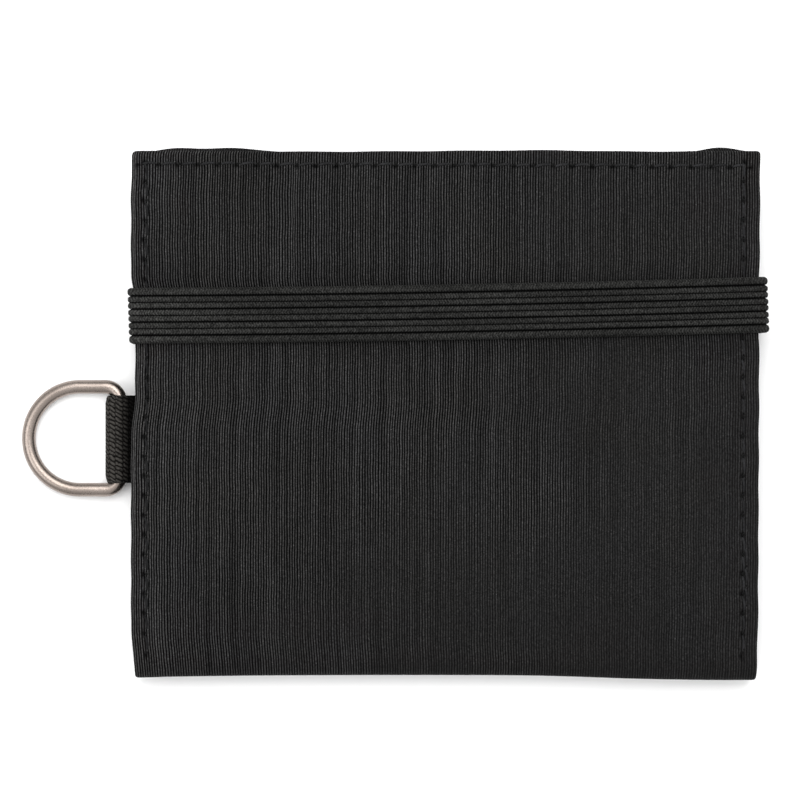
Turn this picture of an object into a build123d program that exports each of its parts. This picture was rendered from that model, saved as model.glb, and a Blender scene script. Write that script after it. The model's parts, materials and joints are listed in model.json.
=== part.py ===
"""A small folding wallet in black ribbed nylon, closed and lying on its back.

The wallet folds along its bottom edge. The back half carries a zipped coin pocket, a webbing tab
with a D-ring and the two sewn ends of an elastic band. The front half carries three card slots.
A note pocket runs behind both halves and opens at the right-hand side.

Frame: +X to the right, +Y towards the edge that opens, +Z out of the front face.
The origin is the middle of the back face. All sizes are in millimetres.
"""

import os
from math import cos, radians, sin

from build123d import *

# ---- Driving dimensions -------------------------------------------------------------------
WIDTH = 110.0  # across the front face
HEIGHT = 92.5  # from the fold to the edge that opens
THICKNESS = 10.6  # closed, without the elastic band

OUTER_CLOTH = 0.6  # ribbed nylon
BOARD = 0.6  # stiffener between the turned hems, as thick as a hem
LINING = 0.3
HEM = 8.0  # width of the turned edge
INNER_CLOTH = 0.35  # pocket walls
PANEL_CLOTH = 0.5  # coin pocket face
NOTE_GAP = 0.5  # room for folded notes
CARD_GAP = 0.85  # a bank card is 0.76 thick
CARD_CLOTH = 0.3
COIN_GAP = 1.5

FOLD_RADIUS = 0.9  # half the thickness of the strip that makes the fold
FOLD_CLEARANCE = 0.3

BAND_WIDTH = 10.0
BAND_THICKNESS = 1.15
BAND_Y = 17.6  # middle of the band
BAND_STANDOFF = 0.25  # clear of the side edges
BAND_LIFT = 0.15  # clear of the front face and its thread

RING_WIRE = 1.23  # radius of the wire
RING_Y = -4.6
RING_BAR_X = -57.5
RING_BAR_Z = 2.6
RING_HALF_WIDTH = 9.13  # from the middle of the ring to the middle of its arm
RING_ARM = 7.24  # from the bar to where the round end starts
RING_CORNER = 1.7
RING_CLEARANCE = 0.07  # between the wire and the webbing round it
RING_DROOP = 4.6  # degrees below level, so that the round end rests on the table

TAB_WIDTH = 15.0
WEBBING = 1.1
TAB_INSET = 4.0  # how far the webbing is sewn in

ZIP_Y = 33.0
ZIP_X = (-47.0, 44.0)
SLIDER_REACH = 4.5  # from the middle of the slider to its front end
PULL_LENGTH = 12.5  # from the middle of the slider to the tip of the pull
TAPE_WIDTH = 10.0
TAPE = 0.35
COIL_WIDTH = 1.5
COIL_HEIGHT = 1.0
COIL_GAP = 0.9  # between the two rows, where the slider's post runs
COIL_CORNER = 0.35
STOP_LENGTH = 2.0
ZIP_WINDOW = 4.4  # from the middle of the zip to the edge of the cloth

CARD_MOUTH = 22.0  # height of the rear card slot's mouth
CARD_STAGGER = 10.0  # each mouth is this much lower than the last

THREAD_INSET = 2.6  # from the side edges to the thread
THREAD_TOP_INSET = 2.0
THREAD_WIDTH = 0.45
THREAD_HEIGHT = 0.1

# ---- Setbacks, seams and rounded corners ----------------------------------------------------
FIT = 0.1  # room between pieces that only touch
INNER_SETBACK = 1.5  # lining and pockets stop this far inside the cover's edges
MOUTH_SETBACK = 2.0  # the note pocket's wall stops this far short at its open side
FOLD_SETBACK = 2.0  # the pockets stop this far above the fold
POCKET_SETBACK = 0.5  # coin and card pockets stop this far inside the walls
SEAM = 3.0  # width of a sewn seam
TOP_SEAM = 1.0  # width of the coin pocket's seam beside the zip tape
BINDING = 4.0
BINDING_CLOTH = 0.25
BINDING_REACH = 1.0  # past the edge that it binds
BINDING_GAP = 0.3  # from the binding to the pockets
BINDING_CORNER = 0.4
COVER_CORNER = 1.0
LINING_CORNER = 0.8
PANEL_CORNER = 0.6
BAND_CORNER = 1.4
BAND_END_CORNER = 0.7

# ---- Levels worked out from them ----------------------------------------------------------
TOP_EDGE = HEIGHT / 2
FOLD_OUTSIDE = -HEIGHT / 2
FOLD_AXIS_Y = FOLD_OUTSIDE + FOLD_RADIUS
COVER_END = FOLD_AXIS_Y + FOLD_RADIUS + FOLD_CLEARANCE
HEM_LEVEL = OUTER_CLOTH + BOARD
COVER = HEM_LEVEL + LINING
WALL_LEVEL = COVER + NOTE_GAP
COIN_FLOOR = WALL_LEVEL + INNER_CLOTH
COIN_ROOF = COIN_FLOOR + COIN_GAP
CARD_STEP = CARD_GAP + CARD_CLOTH

EDGE = WIDTH / 2
INNER_LEFT = -EDGE + INNER_SETBACK
INNER_RIGHT = EDGE - MOUTH_SETBACK
INNER_TOP = TOP_EDGE - INNER_SETBACK
INNER_BOTTOM = COVER_END + FOLD_SETBACK
POCKET_LEFT = INNER_LEFT + POCKET_SETBACK
POCKET_RIGHT = INNER_RIGHT - BINDING - BINDING_GAP
POCKET_BOTTOM = INNER_BOTTOM + POCKET_SETBACK
POCKET_TOP = INNER_TOP - POCKET_SETBACK


def layer(xs, ys, depths, front=False, corner=0.0, mode=Mode.ADD):
    """Adds a flat layer to the part being built, depths counted inwards from that half's outer face."""
    z_low, z_high = sorted(THICKNESS - d if front else d for d in depths)
    with BuildSketch(Plane.XY.offset(z_low)) as outline:
        with Locations(((xs[0] + xs[1]) / 2, (ys[0] + ys[1]) / 2)):
            if corner:
                RectangleRounded(xs[1] - xs[0], ys[1] - ys[0], corner)
            else:
                Rectangle(xs[1] - xs[0], ys[1] - ys[0])
    extrude(outline.sketch, amount=z_high - z_low, mode=mode)


def band_notch(side, depths):
    """Cuts the room that a sewn end of the elastic band takes in a layer of the back half."""
    xs = sorted((side * (EDGE + HEM), side * (EDGE - HEM)))
    ys = (BAND_Y - BAND_WIDTH / 2 - FIT, BAND_Y + BAND_WIDTH / 2 + FIT)
    layer(xs, ys, depths, mode=Mode.SUBTRACT)


def tab_notch(depths):
    """Cuts the room that the webbing tab takes between the layers at the left-hand seam."""
    half = TAB_WIDTH / 2 + FIT
    xs = (-EDGE - TAB_INSET, -EDGE + TAB_INSET + FIT)
    layer(xs, (RING_Y - half, RING_Y + half), depths, mode=Mode.SUBTRACT)


def finish(part, name):
    """Labels a finished piece and writes its STEP file."""
    part.part.label = name
    export_step(part.part, f"parts/{name}.step")
    print(f"{name}: {len(part.part.solids())} solids, {part.part.volume:.1f} mm3")


def build_cover(front):
    """Outer cloth with three turned hems, its stiffener and its lining, for one half."""
    half = "front" if front else "back"
    with BuildPart() as shell:
        layer((-EDGE, EDGE), (COVER_END, TOP_EDGE), (0, HEM_LEVEL), front)
        inside = (-EDGE + HEM, EDGE - HEM)
        layer(inside, (COVER_END, TOP_EDGE - HEM), (OUTER_CLOTH, HEM_LEVEL), front, mode=Mode.SUBTRACT)
        top_corners = shell.edges().filter_by(Axis.Z).group_by(Axis.Y)[-1]
        fillet(top_corners, radius=COVER_CORNER)
        if not front:
            for side in (-1, 1):
                band_notch(side, (OUTER_CLOTH, HEM_LEVEL))
    finish(shell, f"shell_{half}")

    with BuildPart() as stiffener:
        xs = (-EDGE + HEM + FIT, EDGE - HEM - FIT)
        ys = (COVER_END, TOP_EDGE - HEM - FIT)
        layer(xs, ys, (OUTER_CLOTH, HEM_LEVEL), front, corner=COVER_CORNER)
    finish(stiffener, f"stiffener_{half}")

    with BuildPart() as lining:
        xs = (INNER_LEFT, EDGE - INNER_SETBACK)
        layer(xs, (COVER_END, INNER_TOP), (HEM_LEVEL, COVER), front, corner=LINING_CORNER)
        if not front:
            for side in (-1, 1):
                band_notch(side, (HEM_LEVEL, COVER))
    finish(lining, f"lining_{half}")


def build_note_pocket(front):
    """The wall between the notes and the rest, its seam tape and the bound edge of the mouth."""
    half = "front" if front else "back"
    with BuildPart() as tape:
        layer((INNER_LEFT, INNER_LEFT + SEAM), (INNER_BOTTOM, INNER_TOP), (COVER, WALL_LEVEL), front)
        layer((INNER_LEFT, INNER_RIGHT), (INNER_TOP - SEAM, INNER_TOP), (COVER, WALL_LEVEL), front)
        if not front:
            tab_notch((COVER, WALL_LEVEL))
    finish(tape, f"note_seam_tape_{half}")

    with BuildPart() as wall:
        layer((INNER_LEFT, INNER_RIGHT), (INNER_BOTTOM, INNER_TOP), (WALL_LEVEL, COIN_FLOOR), front)
        if not front:
            tab_notch((WALL_LEVEL, COIN_FLOOR))
    finish(wall, f"note_pocket_wall_{half}")

    with BuildPart() as binding:
        ys = (INNER_BOTTOM, INNER_TOP - SEAM - FIT)
        outer = (WALL_LEVEL - BINDING_CLOTH, COIN_FLOOR + BINDING_CLOTH)
        layer((INNER_RIGHT - BINDING, INNER_RIGHT + BINDING_REACH), ys, outer, front)
        fillet(binding.edges().filter_by(Axis.Y).group_by(Axis.X)[-1], radius=BINDING_CORNER)
        layer((INNER_RIGHT - BINDING, INNER_RIGHT), ys, (WALL_LEVEL, COIN_FLOOR), front, mode=Mode.SUBTRACT)
    finish(binding, f"mouth_binding_{half}")


def build_coin_pocket():
    """The zipped pocket on the inner face of the back half."""
    xs = (POCKET_LEFT, POCKET_RIGHT)
    with BuildPart() as gusset:
        depths = (COIN_FLOOR, COIN_ROOF - TAPE)
        layer(xs, (POCKET_BOTTOM, POCKET_TOP), depths)
        inside = (POCKET_LEFT + SEAM, POCKET_RIGHT - SEAM)
        layer(inside, (POCKET_BOTTOM + SEAM, POCKET_TOP - TOP_SEAM), depths, mode=Mode.SUBTRACT)
        tab_notch(depths)
    finish(gusset, "coin_pocket_gusset")

    depths = (COIN_ROOF, COIN_ROOF + PANEL_CLOTH)
    with BuildPart() as lower:
        layer(xs, (POCKET_BOTTOM, ZIP_Y - ZIP_WINDOW), depths, corner=PANEL_CORNER)
    finish(lower, "coin_pocket_face")
    with BuildPart() as upper:
        layer(xs, (ZIP_Y + ZIP_WINDOW, POCKET_TOP), depths, corner=PANEL_CORNER)
    finish(upper, "coin_pocket_top_strip")

    for name, side in (("lower", -1), ("upper", 1)):
        near = ZIP_Y + side * COIL_GAP / 2
        far = near + side * TAPE_WIDTH
        with BuildPart() as tape:
            layer(xs, sorted((near, far)), (COIN_ROOF - TAPE, COIN_ROOF))
        finish(tape, f"zip_tape_{name}")
        row = near + side * COIL_WIDTH / 2
        with BuildPart() as coil:
            with BuildSketch(Plane.YZ.offset(ZIP_X[0])):
                with Locations((row, COIN_ROOF + COIL_HEIGHT / 2)):
                    RectangleRounded(COIL_WIDTH, COIL_HEIGHT, COIL_CORNER)
            extrude(amount=ZIP_X[1] - ZIP_X[0])
        finish(coil, f"zip_coil_{name}")

    with BuildPart() as stops:
        half_width = COIL_GAP / 2 + COIL_WIDTH
        ys = (ZIP_Y - half_width, ZIP_Y + half_width)
        for near, side in ((ZIP_X[0] - FIT, -1), (ZIP_X[1] + FIT, 1)):
            ends = sorted((near, near + side * STOP_LENGTH))
            layer(ends, ys, (COIN_ROOF, COIN_ROOF + COIL_HEIGHT), corner=COIL_CORNER)
    finish(stops, "zip_end_stops")


# ---- The slider and its pull ------------------------------------------------------------------
SLIDER_X = ZIP_X[1] - SLIDER_REACH  # shut
SLIDER_LOW = COIN_ROOF - TAPE  # underside of the tapes
SLIDER_TOP = COIN_ROOF + COIL_HEIGHT + FIT  # underside of the slider's top plate
PLATE = 0.6
NOSE = (SLIDER_X + 2.2, 4.6, 1.2)  # middle, length and corner radius of the wide end
TAIL = (SLIDER_X - 3.2, 2.0, 0.9)  # and of the narrow end
TAIL_TAPER = 1.2  # how much narrower the tail is
FLANGE_X = (SLIDER_X, SLIDER_X + 3.2)
FLANGE_INSIDE = COIL_GAP / 2 + COIL_WIDTH + 0.15  # from the middle to a flange, clear of the coil
FLANGE = 0.6  # thickness of a flange
POST_X = (SLIDER_X + 0.6, SLIDER_X + 3.4)
POST = 0.5  # thickness of the post
LUG_X = SLIDER_X + 0.5
LUG_Y = 1.75  # from the middle to the inner face of a lug
LUG = 0.6  # thickness of a lug
LUG_FOOT = 2.6
KNUCKLE = 0.75  # radius of a lug's eye and of the pull's rolled end
PIVOT_Z = SLIDER_TOP + PLATE + FIT + KNUCKLE
PIN_RADIUS = 0.35
PIN_CLEARANCE = 0.06
PULL_THICKNESS = 0.9
PULL_NECK = (5.0, 2.6)  # length and width of the narrow part
PULL_WIDTH = 4.8
PULL_CORNER = 1.6
PULL_OVERLAP = 0.5  # how far the wide part overlaps the neck
PULL_SLOT = (3.4, 1.9)
PULL_SLOT_X = 3.3  # from the pull's tip to the middle of its slot


def build_slider():
    """The zip slider: two plates held by a post, side flanges and a pin for the pull."""
    plate_half = FLANGE_INSIDE + FLANGE
    with BuildPart() as body:
        for z in (SLIDER_LOW - FIT - PLATE, SLIDER_TOP):
            with BuildSketch(Plane.XY.offset(z)):
                with Locations((NOSE[0], ZIP_Y)):
                    RectangleRounded(NOSE[1], 2 * plate_half, NOSE[2])
                with Locations((TAIL[0], ZIP_Y)):
                    RectangleRounded(TAIL[1], 2 * plate_half - TAIL_TAPER, TAIL[2])
                make_hull()
            extrude(amount=PLATE)
        for side in (-1, 1):
            ys = sorted((ZIP_Y + side * FLANGE_INSIDE, ZIP_Y + side * plate_half))
            layer(FLANGE_X, ys, (COIN_ROOF + FIT, SLIDER_TOP + PLATE))
        ys = (ZIP_Y - POST / 2, ZIP_Y + POST / 2)
        layer(POST_X, ys, (SLIDER_LOW - FIT - PLATE, SLIDER_TOP))
        for side in (-1, 1):
            near = ZIP_Y + side * LUG_Y
            with BuildSketch(Plane.XZ.offset(-near)):
                with Locations((LUG_X, PIVOT_Z)):
                    Circle(KNUCKLE)
                with Locations((LUG_X, SLIDER_TOP + PLATE / 2)):
                    Rectangle(LUG_FOOT, PLATE)
                make_hull()
            extrude(amount=-side * LUG)
    finish(body, "slider_body")

    with BuildPart() as pin:
        with Locations(Plane.XZ.offset(-(ZIP_Y - LUG_Y))):
            with Locations((LUG_X, PIVOT_Z)):
                Cylinder(PIN_RADIUS, 2 * LUG_Y, align=(Align.CENTER, Align.CENTER, Align.MAX))
    finish(pin, "pull_pin")


def build_pull():
    """The pull: a rolled end round the pin, a neck and a flat tab with a slot."""
    with BuildPart() as pull:
        with BuildSketch(Plane.XZ.offset(-(ZIP_Y - LUG_Y + FIT))):
            with Locations((LUG_X, PIVOT_Z)):
                Circle(KNUCKLE)
        extrude(amount=-2 * (LUG_Y - FIT))
        neck_end = SLIDER_X - PULL_NECK[0]
        plate = (PIVOT_Z - PULL_THICKNESS / 2, PIVOT_Z + PULL_THICKNESS / 2)
        layer((neck_end, LUG_X), (ZIP_Y - PULL_NECK[1] / 2, ZIP_Y + PULL_NECK[1] / 2), plate)
        tip = SLIDER_X - PULL_LENGTH
        ys = (ZIP_Y - PULL_WIDTH / 2, ZIP_Y + PULL_WIDTH / 2)
        layer((tip, neck_end + PULL_OVERLAP), ys, plate, corner=PULL_CORNER)
        with BuildSketch(Plane.XY.offset(plate[0])):
            with Locations((tip + PULL_SLOT_X, ZIP_Y)):
                SlotOverall(*PULL_SLOT)
        extrude(amount=PULL_THICKNESS, mode=Mode.SUBTRACT)
        with BuildSketch(Plane.XZ.offset(-(ZIP_Y - 2 * LUG_Y))):
            with Locations((LUG_X, PIVOT_Z)):
                Circle(PIN_RADIUS + PIN_CLEARANCE)
        extrude(amount=-4 * LUG_Y, mode=Mode.SUBTRACT)
    finish(pull, "pull_tab")


def build_fold():
    """The strip along the bottom that joins the halves: outer cloth outside, lining inside."""
    split_y = FOLD_OUTSIDE + HEM_LEVEL  # outer cloth on one side, lining on the other
    past = 5.0  # half the width of the block that cuts away the other side
    with BuildPart() as shell:
        with BuildSketch(Plane.YZ.offset(-EDGE)):
            with Locations((FOLD_AXIS_Y, THICKNESS / 2)):
                SlotOverall(THICKNESS, 2 * FOLD_RADIUS, rotation=90)
            with Locations((split_y + past, THICKNESS / 2)):
                Rectangle(2 * past, 2 * THICKNESS, mode=Mode.SUBTRACT)
        extrude(amount=WIDTH)
    finish(shell, "shell_fold")
    with BuildPart() as lining:
        with BuildSketch(Plane.YZ.offset(-EDGE + INNER_SETBACK)):
            with Locations((FOLD_AXIS_Y, THICKNESS / 2)):
                SlotOverall(THICKNESS, 2 * FOLD_RADIUS, rotation=90)
            with Locations((split_y - past, THICKNESS / 2)):
                Rectangle(2 * past, 2 * THICKNESS, mode=Mode.SUBTRACT)
        extrude(amount=WIDTH - 2 * INNER_SETBACK)
    finish(lining, "lining_fold")


def build_card_slots():
    """Three card pockets on the inner face of the front half, each mouth lower than the last."""
    names = ("rear", "middle", "near")
    inside = (POCKET_LEFT + SEAM, POCKET_RIGHT - SEAM)
    low = POCKET_BOTTOM + SEAM
    for number, name in enumerate(names):
        depth = COIN_FLOOR + number * CARD_STEP + CARD_GAP
        ys = (low, CARD_MOUTH - number * CARD_STAGGER)
        with BuildPart() as slot:
            layer(inside, ys, (depth, depth + CARD_CLOTH), True)
        finish(slot, f"card_slot_{name}")
    with BuildPart() as tape:
        stack = (COIN_FLOOR, COIN_FLOOR + len(names) * CARD_STEP)
        layer((POCKET_LEFT, POCKET_RIGHT), (POCKET_BOTTOM, CARD_MOUTH), stack, True)
        layer(inside, (low, CARD_MOUTH + SEAM), stack, True, mode=Mode.SUBTRACT)
    finish(tape, "card_slot_seam_tape")


def build_band():
    """The elastic band: its free run over the front, and the two ends sewn into the back half."""
    outside = EDGE + BAND_STANDOFF + BAND_THICKNESS
    inside = EDGE + BAND_STANDOFF
    foot = COVER
    under = THICKNESS + BAND_LIFT
    with BuildPart() as band:
        with BuildSketch(Plane.XZ.offset(-(BAND_Y - BAND_WIDTH / 2))):
            with Locations((0, (foot + under + BAND_THICKNESS) / 2)):
                Rectangle(2 * outside, under + BAND_THICKNESS - foot)
            with Locations((0, (foot + under) / 2)):
                Rectangle(2 * inside, under - foot, mode=Mode.SUBTRACT)
        extrude(amount=-BAND_WIDTH)
        fillet(band.edges().filter_by(Axis.Y).group_by(Axis.Z)[-1], radius=BAND_CORNER)
    finish(band, "elastic_band")
    for name, side in (("left", -1), ("right", 1)):
        with BuildPart() as end:
            ys = (BAND_Y - BAND_WIDTH / 2, BAND_Y + BAND_WIDTH / 2)
            xs = sorted((side * outside, side * (EDGE - HEM + FIT)))
            layer(xs, ys, (OUTER_CLOTH, COVER))
            corner = end.edges().filter_by(Axis.Y).group_by(Axis.Z)[0].sort_by(Axis.X)
            fillet(corner[0] if side < 0 else corner[-1], radius=BAND_END_CORNER)
        finish(end, f"band_end_{name}")


def build_ring():
    """The D-ring, and the webbing tab that holds its straight bar."""
    half, corner, arm = RING_HALF_WIDTH, RING_CORNER, RING_ARM
    droop = radians(RING_DROOP)
    outwards, upwards = (-cos(droop), 0, -sin(droop)), (-sin(droop), 0, cos(droop))
    with BuildPart() as ring:
        with BuildLine(Plane((RING_BAR_X, RING_Y, RING_BAR_Z), outwards, upwards)) as path:
            Line((0, corner - half), (0, half - corner))
            RadiusArc((0, half - corner), (corner, half), corner)
            Line((corner, half), (arm, half))
            ThreePointArc((arm, half), (arm + half, 0), (arm, -half))
            Line((arm, -half), (corner, -half))
            RadiusArc((corner, -half), (0, corner - half), corner)
        with BuildSketch(Plane(path.line @ 0, z_dir=path.line % 0)):
            Circle(RING_WIRE)
        sweep(path=path.line)
    finish(ring, "d_ring")

    bore = RING_WIRE + RING_CLEARANCE
    with BuildPart() as tab:
        with BuildSketch(Plane.XZ.offset(-(RING_Y - TAB_WIDTH / 2))):
            with Locations((RING_BAR_X, RING_BAR_Z)):
                Circle(bore + WEBBING)
            tail_end = -EDGE + TAB_INSET
            with Locations(((RING_BAR_X + tail_end) / 2, RING_BAR_Z)):
                Rectangle(tail_end - RING_BAR_X, 2 * WEBBING)
            with Locations((RING_BAR_X, RING_BAR_Z)):
                Circle(bore, mode=Mode.SUBTRACT)
        extrude(amount=-TAB_WIDTH)
    finish(tab, "ring_tab")


def build_edge_thread():
    """The lockstitch thread that shows along three sides of the front face."""
    low, high = COVER_END + TOP_SEAM, TOP_EDGE - THREAD_TOP_INSET
    half = EDGE - THREAD_INSET
    with BuildPart() as thread:
        layer((-half, half), (low, high), (0, -THREAD_HEIGHT), True)
        half -= THREAD_WIDTH
        inside = (low - SEAM, high - THREAD_WIDTH)
        layer((-half, half), inside, (0, -THREAD_HEIGHT), True, mode=Mode.SUBTRACT)
    finish(thread, "edge_thread")


def main():
    """Builds every piece and writes it to parts/."""
    os.makedirs("parts", exist_ok=True)
    for front in (False, True):
        build_cover(front)
        build_note_pocket(front)
    build_fold()
    build_coin_pocket()
    build_slider()
    build_pull()
    build_card_slots()
    build_band()
    build_ring()
    build_edge_thread()


main()
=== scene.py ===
"""A folding wallet in black corded nylon, held shut by an elastic band, with a D-ring at its left edge.

The wallet lies on its back. Its fold is at -Y, the edge that opens is at +Y and the front faces +Z.
Shapes are worked out in millimetres and turned to metres when their mesh is made.
"""

import json
import math

import bmesh
import bpy
import numpy as np
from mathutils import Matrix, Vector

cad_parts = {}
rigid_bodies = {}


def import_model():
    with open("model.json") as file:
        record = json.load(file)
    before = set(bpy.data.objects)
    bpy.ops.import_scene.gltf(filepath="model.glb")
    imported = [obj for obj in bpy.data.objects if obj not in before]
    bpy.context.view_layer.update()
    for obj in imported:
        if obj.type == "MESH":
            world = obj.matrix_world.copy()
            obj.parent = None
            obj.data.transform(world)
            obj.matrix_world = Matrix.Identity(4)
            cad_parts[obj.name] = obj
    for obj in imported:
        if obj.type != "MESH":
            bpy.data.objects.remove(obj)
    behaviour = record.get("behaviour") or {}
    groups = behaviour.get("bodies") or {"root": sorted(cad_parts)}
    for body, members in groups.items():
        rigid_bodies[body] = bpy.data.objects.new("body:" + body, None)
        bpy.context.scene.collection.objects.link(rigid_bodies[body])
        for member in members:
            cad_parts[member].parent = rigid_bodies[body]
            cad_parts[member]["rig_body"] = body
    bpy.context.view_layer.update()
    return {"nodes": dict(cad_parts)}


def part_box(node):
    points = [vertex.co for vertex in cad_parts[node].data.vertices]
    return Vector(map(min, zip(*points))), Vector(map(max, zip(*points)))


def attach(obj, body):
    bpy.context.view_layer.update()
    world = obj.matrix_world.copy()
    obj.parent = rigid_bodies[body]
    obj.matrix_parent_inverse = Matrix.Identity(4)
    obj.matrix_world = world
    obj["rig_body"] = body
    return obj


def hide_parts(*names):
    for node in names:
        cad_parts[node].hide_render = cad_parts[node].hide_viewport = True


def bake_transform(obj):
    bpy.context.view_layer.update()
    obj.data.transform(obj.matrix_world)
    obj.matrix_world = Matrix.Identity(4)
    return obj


bl_info = {
    "name": "Folding Wallet",
    "version": (1, 0, 0),
    "blender": (4, 5, 0),
    "location": "View3D > Sidebar > Wallet",
    "description": "Builds a corded nylon wallet with an elastic band, a D-ring and a zipped coin pocket",
    "category": "Object",
}

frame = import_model()
MM = 0.001

# ---- Sizes of the wallet, in millimetres ---------------------------------------------------
FRONT_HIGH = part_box("shell_front")[1] / MM
FOLD_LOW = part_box("shell_fold")[0] / MM
THICKNESS = FRONT_HIGH.z
TOP_EDGE = FRONT_HIGH.y
FOLD_Y = FOLD_LOW.y
EDGE = FRONT_HIGH.x
FOLD_RADIUS = 4.0
CLOTH = 0.6
HEM_DEPTH = 1.2
HEM_WIDTH = 8.0
LINING = 0.3
SEAM_X = 52.35
STITCH_PITCH = 3.45
ROW_TOP = 42.4
BAND_Y = 17.6
BAND_WIDTH = 9.75
RING_PIVOT = (-57.5, -4.6, 2.6)


# ---- Shapes of the cloth ---------------------------------------------------------------------
def bump(t, centre, width, height):
    """A smooth rise of that height round centre."""
    return height * np.exp(-(((t - centre) / width) ** 2))


def ease(t):
    """0 below 0, 1 above 1 and a smooth step between."""
    t = np.clip(t, 0, 1)
    return t * t * (3 - 2 * t)


def band_centre(x):
    """Height up the front of the band's middle: it climbs a little to the right."""
    return 17.55 + 0.0175 * x + 0.00012 * x * x


def front_bulge(x, y):
    """How far the filled front stands above its flat level."""
    across, along = np.clip(np.abs(x) / EDGE, 0, 1), np.clip(np.abs(y + 2) / 46, 0, 1)
    crown = 0.55 * (1 - across**2.4) * (1 - along**2.6)
    wave = 0.05 * np.sin(0.11 * x + 0.07 * y + 0.6) + 0.04 * np.sin(0.19 * x - 0.05 * y)
    edge_wave = bump(np.abs(x), EDGE, 3.5, 0.07) * np.sin(0.55 * y + 0.02 * x)
    edge_wave = edge_wave + bump(y, 46, 3.5, 0.06) * np.sin(0.5 * x)
    press = bump(y, band_centre(x), 6.5, 0.22) * (0.55 + 0.45 * across**3)
    return crown + wave + edge_wave - press - seam_groove(x, y)


def seam_top(x):
    """Height of the row of stitches along the opening edge, which drops a little to the right."""
    return 43.47 - 0.0045 * x


def seam_groove(x, y):
    """How far the rows of stitches pull the cloth down, most at each needle hole."""
    beside = bump(np.abs(x), SEAM_X, 0.8, 1.0) * ease((y + 44) / 2) * ease((45 - y) / 2)
    above = bump(y, seam_top(x), 0.8, 1.0) * ease((SEAM_X + 1 - np.abs(x)) / 2)
    beside = beside * (0.75 - 0.35 * np.cos(2 * math.pi * (y - ROW_TOP) / STITCH_PITCH))
    above = above * (0.75 - 0.35 * np.cos(2 * math.pi * x / STITCH_PITCH))
    return 0.16 * np.maximum(beside, above)


def front_sides(y):
    """Left and right edges of the front half, with a waist where the band and the tab hold the left one."""
    ends = ease((y - 38) / 8) + ease((-38 - y) / 8)
    waist = ease((y + 6) / 10) * ease((24.5 - y) / 5)
    left = -55.08 + 0.75 * waist + 0.2 * ends + 0.05 * np.sin(0.8 * y)
    right = 55.13 + 0.0045 * y - bump(y, 18.5, 5, 0.25) + 0.05 * np.sin(0.7 * y + 1)
    return left, right


def back_sides(y):
    """Left and right edges of the back half, which shows in places past the front's right edge."""
    left = -54.95 + bump(y, 15.0, 8, 0.7) + 0.06 * np.sin(0.5 * y + 2)
    right = 55.1 + bump(y, 35, 6, 0.95) + bump(y, -33, 7, 0.6) + 0.06 * np.sin(0.6 * y)
    return left, right


def front_top(x):
    """The front half's opening edge."""
    return 45.85 + bump(x, 19, 11, 0.18) + 0.07 * np.sin(0.12 * x + 1) + 0.04 * np.sin(0.45 * x)


def back_top(x):
    """The back half's opening edge, which stands past the front's near both ends."""
    rises = bump(x, -47, 5, 0.85) + bump(x, -37, 6.5, 0.9) + bump(x, 49.2, 4.2, 1.05)
    return 46.1 + rises + 0.05 * np.sin(0.6 * x)


def fold_shift(x):
    """How far the fold lies above or below its straight line."""
    sag = 0.36 * ease((x - 18) / 32) + 0.33 * ease((x - 10) / 26) + bump(x, -48, 9, 0.1)
    return 0.1 * np.cos(0.055 * (x + 6)) - 0.15 - sag - bump(x, -55, 5, 0.22)


# ---- Meshes ------------------------------------------------------------------------------------
def new_object(name, data):
    """An object of that data, linked to the scene."""
    obj = bpy.data.objects.new(name, data)
    bpy.context.collection.objects.link(obj)
    return obj


def make_object(name, points, faces, uvs=None, material=None, sharp=60, marks=None):
    """A smooth mesh object from points in millimetres, with uvs as one (u, v) for each face corner."""
    mesh = bpy.data.meshes.new(name)
    mesh.from_pydata([tuple(p) for p in np.asarray(points, float) * MM], [], faces)
    if uvs is not None:
        layer = mesh.uv_layers.new(name="UVMap")
        layer.data.foreach_set("uv", (np.asarray(uvs, np.float32) * MM).ravel())
    if marks is not None:
        grooves = mesh.attributes.new("groove", "FLOAT", "POINT")
        grooves.data.foreach_set("value", np.asarray(marks, np.float32))
    mesh.update()
    obj = new_object(name, mesh)
    close_mesh(mesh, sharp)
    if material:
        mesh.materials.append(material)
    return obj


def close_mesh(mesh, sharp=50):
    """Welds doubled points, turns every face outwards and smooths all but the sharp edges."""
    bm = bmesh.new()
    bm.from_mesh(mesh)
    bmesh.ops.remove_doubles(bm, verts=bm.verts, dist=2e-7)
    bmesh.ops.dissolve_degenerate(bm, edges=bm.edges, dist=1e-7)
    bmesh.ops.recalc_face_normals(bm, faces=bm.faces)
    bm.to_mesh(mesh)
    bm.free()
    mesh.shade_smooth()
    mesh.set_sharp_from_angle(angle=math.radians(sharp))


def tube_faces(rows, columns, closed=False):
    """Quads between closed loops of points, and from the last loop back to the first where closed."""
    faces = []
    for j in range(rows if closed else rows - 1):
        a, b = j * columns, (j + 1) % rows * columns
        for m in range(columns):
            n = (m + 1) % columns
            faces.append((a + m, a + n, b + n, b + m))
    return faces


def tube_uvs(u_from, u_to, v):
    """The uvs of the faces of an open tube."""
    uvs = []
    for low, high in zip(v[:-1], v[1:]):
        for a, b in zip(u_from, u_to):
            uvs += [(a, low), (b, low), (b, high), (a, high)]
    return uvs


def arc(x, y, radius, start, turn, count):
    """That many points, less the first, along an arc that turns clockwise."""
    angles = [start - a for a in np.linspace(0, turn, count)[1:]]
    return [(x + radius * math.cos(a), y + radius * math.sin(a)) for a in angles]


def unit_tangents(line, closed=False):
    """The direction of a line of points at each of them."""
    if closed:
        along = np.roll(line, -1, axis=0) - np.roll(line, 1, axis=0)
    else:
        along = np.gradient(line, axis=0)
    return along / np.linalg.norm(along, axis=1)[:, None]


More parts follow.
